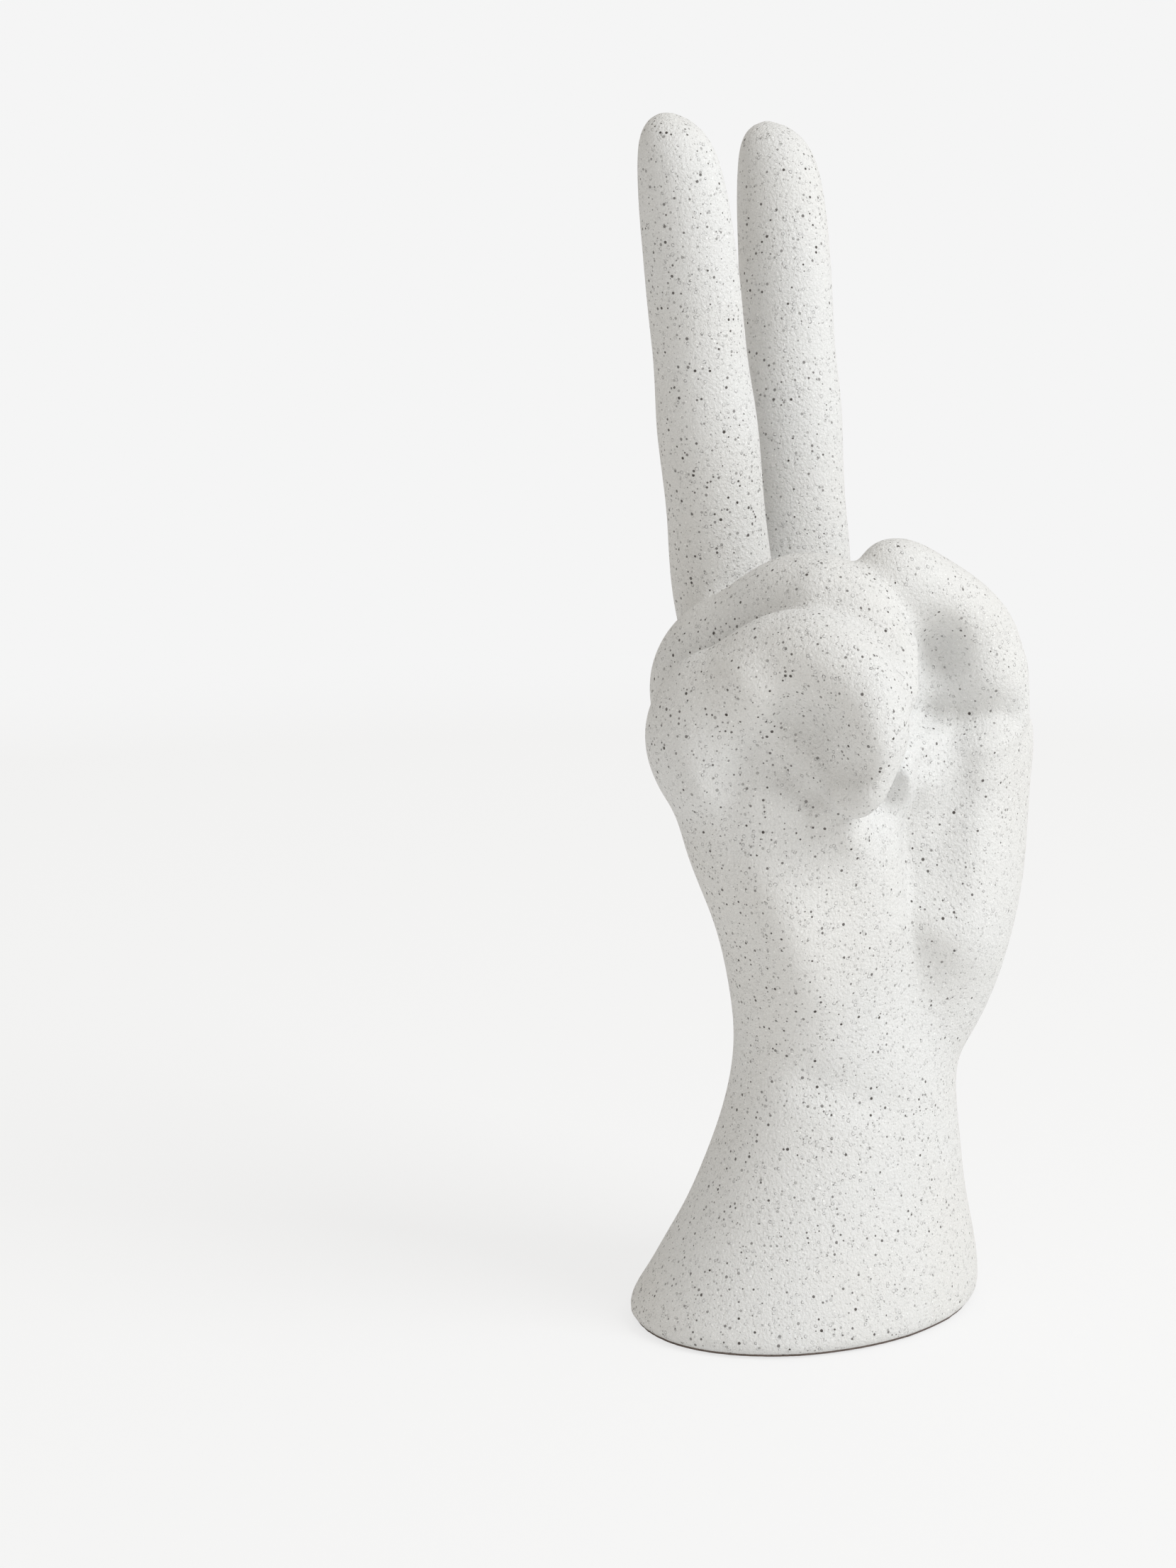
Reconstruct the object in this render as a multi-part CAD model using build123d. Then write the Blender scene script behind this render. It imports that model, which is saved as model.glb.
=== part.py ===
"""A ceramic hand that holds two fingers up, standing on the cut end of its forearm.

It is a right hand: +Z is up, +Y is the back of the hand, and +X is the thumb's side.
The origin is the middle of the flat foot, at the height of the table.
One hollow stoneware casting stands on a felt sheet, which a thin adhesive film holds.
All lengths are millimetres and all angles are degrees.
"""
from build123d import *
from math import cos, radians, sin, tan
import os

# Foot and forearm
foot_width = 85.5
foot_depth = 66.5
foot_edge_height = 3.0
foot_edge_radius = 1.0
wrist_width = 57.0
wrist_depth = 40.5
wrist_height = 50.0
wrist_side_shift = 4.6
wrist_palm_shift = 6.2

# Palm, from the wrist to the row of knuckles
palm_width = 73.0
palm_depth = 31.0
knuckle_row_height = 148.0
knuckle_row_side_shift = 3.0
knuckle_row_back_shift = 19.0
palm_turn_angle = 2.0
palm_side_tilt_angle = 17.0
palm_back_tilt_angle = 14.0

# Long bones of the hand: they fan out from above the wrist to the knuckles
fan_root_side = -1.6
fan_root_back = 6.2
fan_root_lift = 16.0
fan_root_spread = 6.0
knuckle_radius = 30.0

# Straight fingers: knuckle from the middle of the row, length, thickness and leans
middle_knuckle_side = 0.4
middle_knuckle_back = 5.2
middle_knuckle_drop = 3.0
middle_length = 105.8
middle_width = 20.0
middle_depth = 21.2
middle_side_lean_angle = -7.0
middle_back_lean_angle = 2.3
index_knuckle_side = 21.2
index_knuckle_back = 0.9
index_knuckle_drop = -0.5
index_length = 99.0
index_width = 19.8
index_depth = 21.6
index_side_lean_angle = 7.5
index_back_lean_angle = 9.4

# Curled fingers: knuckle from the middle of the row, bones, bends and thickness
ring_knuckle_side = -16.0
ring_knuckle_back = 2.7
ring_knuckle_drop = 14.0
ring_first_bone = 40.0
ring_second_bone = 25.8
ring_third_bone = 22.0
ring_heading_angle = -86.0
ring_rise_angle = 36.0
ring_middle_bend_angle = 90.0
ring_end_bend_angle = 80.0
ring_width = 19.6
ring_depth = 21.6
little_knuckle_side = -34.4
little_knuckle_back = -9.2
little_knuckle_drop = 20.0
little_first_bone = 34.2
little_second_bone = 18.5
little_third_bone = 24.0
little_heading_angle = -80.0
little_rise_angle = 36.0
little_middle_bend_angle = 75.0
little_end_bend_angle = 60.0
little_width = 18.0
little_depth = 20.2
curl_knuckle_radius = 15.0
curl_middle_radius = 12.0
curl_end_radius = 10.5

# Fist core: the clay that fills the curled fingers, with a dimple left at its end
core_root_side = -32.5
core_root_palm = 33.0
core_root_drop = 20.5
core_length = 43.0
core_heading_angle = -6.0
core_rise_angle = 8.0
core_width = 30.0
core_depth = 30.0

# Web: the flesh inside the arch of the thumb, from the middle of the row
web_root_side = 22.0
web_root_palm = 28.0
web_root_drop = 58.0
web_length = 71.0
web_heading_angle = 194.0
web_rise_angle = 71.0
web_width = 30.0
web_depth = 28.0

# Heel of the palm on the little finger's side, from the middle of the wrist
heel_root_side = -4.6
heel_root_back = -2.8
heel_root_lift = -2.0
heel_length = 75.0
heel_heading_angle = 173.0
heel_rise_angle = 77.5
heel_width = 40.0
heel_depth = 38.0

# Back of the hand: the flesh over the long bones, from the middle of the wrist
back_root_side = -1.6
back_root_back = 6.5
back_root_lift = 22.0
back_length = 76.0
back_heading_angle = 84.0
back_rise_angle = 72.0
back_width = 60.0
back_depth = 23.0

# Thumb: it starts in the wrist, and its two bones fold over the palm
thumb_root_side = 7.4
thumb_root_back = -3.3
thumb_root_lift = -8.0
thumb_ball_length = 76.0
thumb_ball_rise_angle = 73.3
thumb_ball_heading_angle = -24.2
thumb_ball_width = 36.0
thumb_first_bone = 33.4
thumb_first_rise_angle = 68.0
thumb_first_heading_angle = 208.6
thumb_second_bone = 31.1
thumb_second_rise_angle = 31.6
thumb_second_heading_angle = 164.9
thumb_width = 21.0
thumb_knuckle_radius = 20.0
thumb_joint_radius = 12.0

# Wall of the casting, its floor and the hole that the slip was poured out of
wall = 4.6
floor_thickness = 5.0
drain_diameter = 16.0

# Recess in the foot, with the adhesive film and the felt sheet in it
foot_rim_width = 3.2
recess_depth = 1.0
felt_thickness = 1.2
adhesive_thickness = 0.2
felt_clearance = 0.6
adhesive_inset = 0.8
cut_overrun = 2.0

# Count of the points round each ring of a loft
ring_point_count = 12

# The felt stands out of its recess by this much and lifts the rim off the table
rim_height = felt_thickness + adhesive_thickness - recess_depth

# Forearm rings: rise and lean as shares of the wrist's, flare from wrist to foot
forearm_ring_shares = [
    (0.14, 0.14, 0.91),
    (0.29, 0.34, 0.71),
    (0.44, 0.51, 0.50),
    (0.64, 0.71, 0.29),
    (0.84, 0.87, 0.12),
]

# Palm rings: rise, backward sweep, width and depth as shares of the palm's
palm_ring_shares = [
    (0.10, 0.00, 0.79, 1.24),
    (0.23, 0.04, 0.84, 1.18),
    (0.38, 0.15, 0.92, 1.10),
    (0.55, 0.36, 1.02, 1.04),
    (0.70, 0.57, 1.01, 1.00),
    (0.82, 0.73, 0.97, 0.95),
    (0.92, 0.88, 0.87, 0.84),
    (0.98, 0.97, 0.64, 0.58),
    (1.00, 1.00, 0.30, 0.26),
]

# Rings of a long bone in the palm: place along it, width and depth
bone_ring_shares = [
    (0.00, 0.50, 0.45),
    (0.22, 0.68, 0.60),
    (0.44, 0.80, 0.74),
    (0.66, 0.88, 0.86),
    (0.86, 0.95, 0.97),
]

# Straight finger rings: place along it, width, depth, and set-back of the middle
straight_ring_shares = [
    (0.05, 1.00, 1.04, 0.00),
    (0.22, 0.97, 0.98, 0.00),
    (0.39, 0.99, 1.00, 0.00),
    (0.50, 0.94, 0.93, 0.00),
    (0.61, 0.91, 0.94, 0.00),
    (0.72, 0.91, 0.92, 0.00),
    (0.82, 0.88, 0.88, 0.01),
    (0.90, 0.81, 0.79, 0.03),
    (0.952, 0.67, 0.64, 0.07),
    (0.983, 0.44, 0.41, 0.12),
    (1.00, 0.13, 0.12, 0.14),
]

# Curled finger rings: place along the bent line, width, depth and set-back
curled_ring_shares = [
    (0.00, 1.00, 1.10, 0.00),
    (0.16, 0.98, 1.02, 0.00),
    (0.31, 1.00, 0.96, 0.00),
    (0.39, 1.00, 0.94, 0.00),
    (0.47, 1.00, 0.94, 0.00),
    (0.55, 0.99, 0.93, 0.00),
    (0.65, 0.94, 0.87, 0.00),
    (0.73, 0.93, 0.84, 0.00),
    (0.80, 0.90, 0.80, 0.00),
    (0.88, 0.80, 0.70, 0.00),
    (0.945, 0.61, 0.54, 0.00),
    (0.983, 0.36, 0.32, 0.00),
    (1.00, 0.12, 0.10, 0.00),
]

# Rings of a long pad of flesh that rises slowly: place along it and thickness
rising_ring_shares = [
    (0.00, 0.55),
    (0.20, 0.78),
    (0.40, 0.93),
    (0.58, 1.00),
    (0.75, 0.98),
    (0.88, 0.84),
    (0.96, 0.58),
    (1.00, 0.26),
]

# Rings of a filling with two blunt ends: place along it and thickness
filling_ring_shares = [
    (0.00, 0.55),
    (0.07, 0.82),
    (0.22, 0.98),
    (0.50, 1.00),
    (0.76, 0.97),
    (0.93, 0.84),
    (1.00, 0.66),
]

# Thumb rings: place along the bent line, thickness, and how much of the ball it has
thumb_ring_shares = [
    (0.00, 0.50, 0.00),
    (0.06, 1.00, 0.06),
    (0.12, 1.00, 0.52),
    (0.20, 1.00, 0.88),
    (0.30, 1.00, 1.00),
    (0.42, 1.00, 0.82),
    (0.53, 1.00, 0.42),
    (0.61, 1.04, 0.27),
    (0.69, 1.02, 0.04),
    (0.77, 0.93, 0.00),
    (0.85, 0.84, 0.00),
    (0.92, 0.80, 0.00),
    (0.965, 0.66, 0.00),
    (0.99, 0.40, 0.00),
    (1.00, 0.12, 0.00),
]

# The bores end where the digits get too thin for two walls
bore_end_share = 0.85
thumb_bore_end_share = 0.50
palm_bore_end_share = 0.93


def direction(heading, rise):
    """The unit vector at a compass heading from +X and a rise from level."""
    level = cos(radians(rise))
    return Vector(level * cos(radians(heading)), level * sin(radians(heading)), sin(radians(rise)))


def from_wrist(side, back, lift):
    """A place measured from the middle of the wrist."""
    return Vector(wrist_side_shift + side, back - wrist_palm_shift, wrist_height + lift)


def from_row(side, back, drop):
    """A place measured from the middle of the row of knuckles."""
    return Vector(
        knuckle_row_side_shift + side, knuckle_row_back_shift + back, knuckle_row_height - drop)


def ring(plane, width, depth):
    """One oval ring of a loft, which always starts on the plane's own X side."""
    turns = [radians(360 * step / ring_point_count) for step in range(ring_point_count)]
    outline = [(cos(turn) * width / 2, sin(turn) * depth / 2) for turn in turns]
    return plane * make_face(Spline(*outline, periodic=True))


def square_ring(spine, side, along, width, depth, set_back=0):
    """A ring square to the spine, with its width along side."""
    plane = Plane(spine @ along, x_dir=side, z_dir=spine % along)
    plane.origin += plane.y_dir * set_back
    return ring(plane, width, depth)


def blend(share, first, last):
    """The value a share of the way from first to last."""
    return first + (last - first) * share


def arm_rings(inset):
    """The rings from the foot to the knuckles, each drawn in by the inset."""
    rings = []
    for height in (rim_height, foot_edge_height):
        plane = Plane((0, 0, height))
        rings.append(ring(plane, foot_width - 2 * inset, foot_depth - 2 * inset))
    for rise, lean, flare in forearm_ring_shares:
        plane = Plane((wrist_side_shift * lean, -wrist_palm_shift * lean, wrist_height * rise))
        width = blend(flare, wrist_width, foot_width)
        depth = blend(flare, wrist_depth, foot_depth)
        rings.append(ring(plane, width - 2 * inset, depth - 2 * inset))
    for rise, sweep, width_share, depth_share in palm_ring_shares:
        if inset > 0 and rise > palm_bore_end_share:
            break
        middle = (
            blend(sweep, wrist_side_shift, knuckle_row_side_shift),
            blend(sweep, -wrist_palm_shift, knuckle_row_back_shift),
            blend(rise, wrist_height, knuckle_row_height),
        )
        turn = radians(palm_turn_angle * sweep)
        side_slope = -tan(radians(palm_side_tilt_angle * sweep))
        back_slope = tan(radians(palm_back_tilt_angle * sweep))
        side = Vector(cos(turn), sin(turn), 0)
        up = Vector(side_slope, back_slope, 1)
        along = side - up * (side.dot(up) / up.dot(up))
        plane = Plane(middle, x_dir=along, z_dir=up)
        width = palm_width * width_share
        depth = palm_depth * depth_share
        rings.append(ring(plane, width - 2 * inset, depth - 2 * inset))
    return rings


def fan_root(knuckle):
    """Where the long bone of a finger starts, spread a little to its knuckle's side."""
    root = from_wrist(fan_root_side, fan_root_back, fan_root_lift)
    spread = fan_root_spread * (knuckle.X - root.X) / palm_width
    return root + Vector(spread, 0, 0)


def finger(corners, radii, side, ring_shares, width, depth, inset=0):
    """The loft of one finger with its long bone, or of the bore in it."""
    root = fan_root(corners[0])
    spine = FilletPolyline(root, *corners, radius=radii)
    bone_share = (corners[0] - root).length / spine.length
    rings = []
    for along, width_share, depth_share in bone_ring_shares:
        size = (width * width_share - 2 * inset, depth * depth_share - 2 * inset)
        if min(size) > 0:
            rings.append(square_ring(spine, side, bone_share * along, *size))
    for along, width_share, depth_share, back_share in ring_shares:
        size = (width * width_share - 2 * inset, depth * depth_share - 2 * inset)
        if inset == 0 or along < bore_end_share:
            place = blend(along, bone_share, 1)
            rings.append(square_ring(spine, side, place, *size, depth * back_share))
    return loft(rings)


def straight_finger(knuckle, length, side_lean, back_lean, width, depth, inset=0):
    """A finger that stands up from its knuckle."""
    lean = Vector(tan(radians(side_lean)), tan(radians(back_lean)), 1)
    corners = [knuckle, knuckle + lean.normalized() * length]
    side = Vector(1, 0, 0)
    return finger(corners, [knuckle_radius], side, straight_ring_shares, width, depth, inset)


def curled_finger(knuckle, bones, heading, rise, bends, width, depth):
    """A finger that rises from its knuckle and curls back to the palm."""
    angles = [rise, rise - bends[0], rise - bends[0] - bends[1]]
    corners = [knuckle]
    for bone, angle in zip(bones, angles):
        corners.append(corners[-1] + direction(heading, angle) * bone)
    radii = [curl_knuckle_radius, curl_middle_radius, curl_end_radius]
    side = direction(heading + 90, 0)
    return finger(corners, radii, side, curled_ring_shares, width, depth)


def pad(root, run, side, ring_shares, width, depth):
    """A straight pad of flesh or clay, its width along side."""
    spine = Line(root, root + run)
    rings = []
    for along, share in ring_shares:
        rings.append(square_ring(spine, side, along, width * share, depth * share))
    return loft(rings)


def palm_heel():
    """The pad of the palm below the little finger."""
    root = from_wrist(heel_root_side, heel_root_back, heel_root_lift)
    run = direction(heel_heading_angle, heel_rise_angle) * heel_length
    return pad(root, run, Vector(1, 0, 0), rising_ring_shares, heel_width, heel_depth)


def thumb_web():
    """The flesh that fills the arch of the thumb."""
    root = from_row(web_root_side, -web_root_palm, web_root_drop)
    run = direction(web_heading_angle, web_rise_angle) * web_length
    return pad(root, run, Vector(1, 0, 0), filling_ring_shares, web_width, web_depth)


def hand_back():
    """The flesh over the long bones, so that only shallow furrows part them."""
    root = from_wrist(back_root_side, back_root_back, back_root_lift)
    run = direction(back_heading_angle, back_rise_angle) * back_length
    return pad(root, run, Vector(1, 0, 0), rising_ring_shares, back_width, back_depth)


def fist_core():
    """The clay that closes the inside of the curled fingers."""
    root = from_row(core_root_side, -core_root_palm, core_root_drop)
    run = direction(core_heading_angle, core_rise_angle) * core_length
    return pad(root, run, Vector(0, 1, 0), filling_ring_shares, core_width, core_depth)


def thumb_spine():
    """The centre line of the thumb, from the wrist to its tip."""
    root = from_wrist(thumb_root_side, thumb_root_back, thumb_root_lift)
    knuckle = root + direction(thumb_ball_heading_angle, thumb_ball_rise_angle) * thumb_ball_length
    joint = knuckle + direction(thumb_first_heading_angle, thumb_first_rise_angle) * thumb_first_bone
    end = joint + direction(thumb_second_heading_angle, thumb_second_rise_angle) * thumb_second_bone
    return FilletPolyline(root, knuckle, joint, end, radius=[thumb_knuckle_radius, thumb_joint_radius])


def thumb(inset=0):
    """The loft of the thumb and its ball, or of the hollow in the ball."""
    rings = []
    spine = thumb_spine()
    for along, thickness_share, ball_share in thumb_ring_shares:
        if inset > 0 and along > thumb_bore_end_share:
            break
        thickness = blend(ball_share, thumb_width * thickness_share, thumb_ball_width) - 2 * inset
        rings.append(square_ring(spine, Vector(0, 1, 0), along, thickness, thickness))
    return loft(rings)


def hand_casting():
    """The whole hand as one hollow casting, with its foot recess and drain hole."""
    middle = (
        from_row(middle_knuckle_side, middle_knuckle_back, middle_knuckle_drop),
        middle_length, middle_side_lean_angle, middle_back_lean_angle, middle_width, middle_depth)
    index = (
        from_row(index_knuckle_side, index_knuckle_back, index_knuckle_drop),
        index_length, index_side_lean_angle, index_back_lean_angle, index_width, index_depth)
    ring_finger = (
        from_row(ring_knuckle_side, ring_knuckle_back, ring_knuckle_drop),
        (ring_first_bone, ring_second_bone, ring_third_bone), ring_heading_angle, ring_rise_angle,
        (ring_middle_bend_angle, ring_end_bend_angle), ring_width, ring_depth)
    little_finger = (
        from_row(little_knuckle_side, little_knuckle_back, little_knuckle_drop),
        (little_first_bone, little_second_bone, little_third_bone), little_heading_angle,
        little_rise_angle, (little_middle_bend_angle, little_end_bend_angle), little_width, little_depth)
    arm = loft(arm_rings(0))
    foot_edge = arm.edges().sort_by(Axis.Z)[0]
    body = fillet(foot_edge, foot_edge_radius)
    straight_fingers = [straight_finger(*middle), straight_finger(*index)]
    curled_fingers = [curled_finger(*ring_finger), curled_finger(*little_finger)]
    fillings = [fist_core(), thumb_web(), hand_back()]
    for limb in [thumb(), *straight_fingers, palm_heel(), *curled_fingers, *fillings]:
        body += limb

    hollow = loft(arm_rings(wall))
    for bore in (thumb(wall), straight_finger(*middle, wall), straight_finger(*index, wall)):
        hollow += bore
    floor_top = rim_height + recess_depth + floor_thickness
    on_axis = (Align.CENTER, Align.CENTER, Align.MIN)
    body -= hollow - Box(foot_width, foot_depth, floor_top, align=on_axis)

    recess_width = foot_width - 2 * foot_rim_width
    recess_length = foot_depth - 2 * foot_rim_width
    recess = ring(Plane((0, 0, -cut_overrun)), recess_width, recess_length)
    body -= extrude(recess, rim_height + recess_depth + cut_overrun)
    return body - Cylinder(drain_diameter / 2, floor_top + cut_overrun, align=on_axis)


def foot_sheet(inset, bottom, thickness):
    """A flat sheet of the recess's outline, drawn in from its edge."""
    width = foot_width - 2 * (foot_rim_width + inset)
    depth = foot_depth - 2 * (foot_rim_width + inset)
    return extrude(ring(Plane((0, 0, bottom)), width, depth), thickness)


def felt_pad():
    """The felt sheet that the casting stands on."""
    return foot_sheet(felt_clearance, 0, felt_thickness)


def pad_adhesive():
    """The film that holds the felt to the roof of its recess."""
    return foot_sheet(felt_clearance + adhesive_inset, felt_thickness, adhesive_thickness)


os.makedirs("parts", exist_ok=True)
for name, shape in (
    ("hand_casting", hand_casting()),
    ("felt_pad", felt_pad()),
    ("pad_adhesive", pad_adhesive()),
):
    export_step(shape, f"parts/{name}.step")
    print(name, "volume", round(shape.volume), "solids", len(shape.solids()))
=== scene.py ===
"""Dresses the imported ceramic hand: its fired clay skin, its felt foot and a pale studio."""
import math

import bmesh
import bpy
import numpy as np
from bpy.props import FloatProperty, FloatVectorProperty, IntProperty, PointerProperty
from bpy.types import Operator, Panel, PropertyGroup
from mathutils import Matrix, Vector
from mathutils.bvhtree import BVHTree


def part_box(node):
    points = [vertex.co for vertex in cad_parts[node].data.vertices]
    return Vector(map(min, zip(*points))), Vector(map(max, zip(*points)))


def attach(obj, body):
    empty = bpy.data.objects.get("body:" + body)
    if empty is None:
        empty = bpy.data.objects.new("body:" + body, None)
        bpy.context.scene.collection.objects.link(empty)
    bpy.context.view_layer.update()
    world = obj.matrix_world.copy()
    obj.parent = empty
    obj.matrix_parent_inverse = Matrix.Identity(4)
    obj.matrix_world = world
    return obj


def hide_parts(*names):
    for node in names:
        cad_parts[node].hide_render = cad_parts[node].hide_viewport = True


bl_info = {
    "name": "Ceramic Hand",
    "version": (1, 0, 0),
    "blender": (4, 5, 0),
    "location": "3D View > Sidebar > Ceramic Hand",
    "description": "Makes the speckled stoneware hand, its felt foot and a pale studio",
    "category": "Object",
}

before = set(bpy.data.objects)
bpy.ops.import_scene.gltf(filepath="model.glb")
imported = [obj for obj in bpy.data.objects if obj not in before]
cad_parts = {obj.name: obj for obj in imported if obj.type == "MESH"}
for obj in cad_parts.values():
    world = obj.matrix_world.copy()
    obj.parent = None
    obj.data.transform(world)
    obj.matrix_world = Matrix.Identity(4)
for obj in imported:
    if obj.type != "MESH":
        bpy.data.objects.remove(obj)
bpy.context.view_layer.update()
hand_low, hand_high = (Vector(corner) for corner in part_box("hand_casting"))
felt_low, felt_high = (Vector(corner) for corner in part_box("felt_pad"))
film_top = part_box("pad_adhesive")[1][2]
hand_size = hand_high - hand_low

# The photograph's frame in pixels, and the longer side of the camera's sensor in millimetres
PHOTO_WIDTH = 1659
PHOTO_HEIGHT = 2212
SENSOR_SIDE = 36.0

# Foot, in metres: the upright edge of its rim, and the gap round the felt in its recess
RIM_EDGE = 0.0004
FELT_CLEARANCE = 0.0006

# Tolerances of the merge and the cut, in metres
MERGE_DISTANCE = 1e-6
CUT_DISTANCE = 1e-7

# Share of the hand's height below which the foot's recess lies
FOOT_ZONE_SHARE = 0.04

# How far a chain's balls stand apart as a share of the smaller one's radius, and their fineness
BALL_STEP_SHARE = 0.2
BALL_SUBDIVISIONS = 3

# How far one round of softening moves a vertex towards its neighbours' middle
SOFTEN_SHARE = 0.5

# The palm as shares of the hand's box: its top at the front, how much higher that is at the back,
# where the rise begins and ends from front to back, and the height in which the palm fades out
PALM_TOP_SHARE = 0.40
PALM_BACK_RISE_SHARE = 0.16
PALM_BACK_SHARES = (0.55, 0.75)
PALM_FADE_SHARE = 0.07

# Heights between which the palm is softened after the strokes, as shares of the hand's
SOFT_PALM_SHARES = (0.22, 0.45)

# Relief strokes: how much of a distance along the view counts, how far a place must face the
# view to be moved in full, and the weight below which a place stays
VIEW_SHARE = 0.35
FULL_FACING = 0.35
LEAST_WEIGHT = 0.01

# Where Blender's Mix node keeps its colour sockets
MIX_FIRST_COLOUR = 6
MIX_SECOND_COLOUR = 7
MIX_RESULT_COLOUR = 2

# Specks: the smallest as a share of a usual one, how much larger the largest is, and how far from
# its middle to its edge a speck is full
SPECK_LEAST_SIZE = 0.45
SPECK_SIZE_SPREAD = 1.1
SPECK_CORE_SHARE = 0.7

# Warm patches: their size in metres, and the noise values at which they begin and are full
PATCH_SIZE = 0.045
PATCH_LIMITS = (0.35, 0.65)

# Fine grain: its size as a share of the grit's, its limits as above, its shade and its strength
GRAIN_SIZE_SHARE = 0.5
GRAIN_LIMITS = (0.25, 0.75)
GRAIN_SHADE = 0.86
GRAIN_STRENGTH = 0.6

# Crowding of the bold specks: the size of its clouds in metres and their limits, the direction of
# the lit side, where fewer specks stand as painted light, and what the clouds and the side away from it
# each add
CROWD_SIZE = 0.022
CROWD_LIMITS = (0.30, 0.70)
LIT_SIDE = (0.6, -0.8, 0.0)
CROWD_WEIGHT = 0.38
SIDE_WEIGHT = 0.74

# Faint specks: spacing and radius as shares of the bold ones', the share of places that hold one,
# and the strength of the darkest
FAINT_SPACING_SHARE = 0.7
FAINT_RADIUS_SHARE = 0.6
FAINT_CHANCE = 0.55
FAINT_STRENGTH = 0.6

# Bold specks: the strength of the palest, and how much stronger the darkest is
BOLD_LEAST_STRENGTH = 0.33
BOLD_STRENGTH_SPREAD = 0.65

# Pale grains and raised grog: spacing and radius as shares of the grit's size, and the share of
# places that hold one
PALE_SPACING_SHARE = 1.1
PALE_RADIUS_SHARE = 0.25
PALE_CHANCE = 0.5
GROG_SPACING_SHARE = 1.6
GROG_RADIUS_SHARE = 0.5
GROG_CHANCE = 0.6

# Heights of the sand and the grog on the surface, in metres
SAND_HEIGHT = 0.00055
GROG_HEIGHT = 0.00030

# How much the roughness varies over the sand, and the noise values at the ends of that
DULL_SPREAD = 0.12
DULL_LIMITS = (0.2, 0.8)

# Where the painted contact shadow round the rim has faded out, as a share of its height
RIM_FADE_SHARE = 1.3

# Felt and film: where the felt's pale fibres begin and are full, the heights of its tufts and of
# the film's clouds in metres, and the clouds' size in tufts and their shade
TUFT_LIMITS = (0.45, 0.75)
TUFT_HEIGHT = 0.0003
CLOUD_HEIGHT = 0.00005
CLOUD_SIZE_SHARE = 12
CLOUD_SHADE = 0.85

# Floor: its corners, its own colour, the least share of the backdrop's colour in it, and how far
# out in metres the backdrop's colour begins to take over and has done so
FLOOR_SEGMENTS = 96
FLOOR_COLOUR = (0.97, 0.97, 0.97)
FLOOR_PLAIN_SHARE = 0.80
FLOOR_FADE = (0.25, 0.75)

# How far the camera sees, in radii of the floor
CLIP_RADII = 3

# Clay laid on before the skin is made: chains of balls, each with the pixel of the photograph
# that its middle is seen at, its distance from the camera and its radius in metres
CLAY_CHAINS = {
    "shelf under the fist": (
        (1000, 1100, 1.004, 0.009), (1050, 1090, 1.006, 0.009), (1100, 1128, 1.002, 0.011),
        (1150, 1174, 1.001, 0.012)),
    "palm beside the fingertip": ((1273, 1081, 1.004, 0.0046), (1267, 1123, 1.011, 0.0046)),
    "side of the thumb": ((1381, 948, 1.023, 0.0103), (1383, 1000, 1.024, 0.0103)),
    "side of the little finger": (
        (1250, 930, 0.996, 0.0085), (1248, 975, 0.992, 0.0083), (1232, 1025, 0.991, 0.0074),
        (1230, 1065, 0.990, 0.0065), (1228, 1105, 0.989, 0.0043), (1219, 1143, 0.987, 0.0020)),
}

# Strokes over the first, coarse skin along its own normals: the pixels of the photograph that
# the route passes, and the stroke's width and depth in metres
FORM_STROKES = {
    "tip of the ring finger": (((1326, 961), (1300, 1046)), 0.0080, 0.0085),
}

# Relief towards the photograph's side, which leaves the outline seen from there as it is:
# the pixels of the route, and the stroke's width and height in metres
RELIEF_STROKES = {
    "side of the palm": (
        ((975, 1090), (1015, 1160), (1055, 1240), (1095, 1310), (1128, 1400)), 0.0085, 0.0042),
    "top of the palm": (((985, 1112), (1050, 1118), (1112, 1128)), 0.0045, 0.0025),
    "groove under the little finger": (((1030, 1066), (1062, 1074)), 0.0032, 0.0030),
    "middle of the palm": (((1165, 1200), (1190, 1265)), 0.0080, -0.0020),
    "first bone of the little finger": (((1040, 955), (1072, 1000), (1080, 1035)), 0.0045, 0.0025),
    "palm under the fingertip": (((1165, 1140), (1195, 1165), (1215, 1185)), 0.0030, 0.0050),
    "valley of the palm": (((1285, 1165), (1292, 1230), (1302, 1300)), 0.0052, 0.0055),
    "ball of the thumb": (((1385, 1105), (1382, 1160), (1375, 1230), (1372, 1320)), 0.0085, 0.0075),
    "mound below the thumb crease": (((1296, 1084), (1350, 1080), (1402, 1078)), 0.0060, 0.0025),
    "joint of the thumb": (((1366, 1062), (1430, 1055)), 0.0040, 0.0018),
    "root of the thumb crease": (((1289, 1095), (1300, 1110)), 0.0038, 0.0045),
    "crease under the thumb": (
        ((1300, 1008), (1310, 1011), (1347, 1009), (1423, 1012)), 0.0040, -0.0055),
    "foot of the thumb ball": (((1313, 1320), (1332, 1358), (1320, 1389)), 0.0060, 0.0020),
    "hollow beside the fist": (((1316, 905), (1318, 950), (1316, 1000)), 0.0042, -0.0085),
    "hollow in the fist": (((1133, 1016), (1159, 1051), (1194, 1093)), 0.0043, -0.0050),
    "wall of the hollow": (((1160, 1010), (1185, 1045), (1205, 1080)), 0.0036, -0.0025),
    "end bone of the little finger": (
        ((1242, 982), (1242, 1043), (1232, 1097), (1228, 1135)), 0.0048, 0.0012),
    "under the little finger": (((1120, 1095), (1150, 1125), (1185, 1155)), 0.0037, -0.0020),
    "ridge of the ring finger": (((1159, 782), (1143, 822), (1132, 855)), 0.0034, 0.0009),
}

# Walls of the palm that the photograph doesn't face: shares of the hand's box between which they
# lie, how little they face the view, and the number of goes in which they are softened
FAR_WALL_SHARES = ((0.22, 0.00, 0.22), (0.66, 0.42, 0.50))
FAR_WALL_FACING = 0.35
FAR_WALL_GOES = 3

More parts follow.
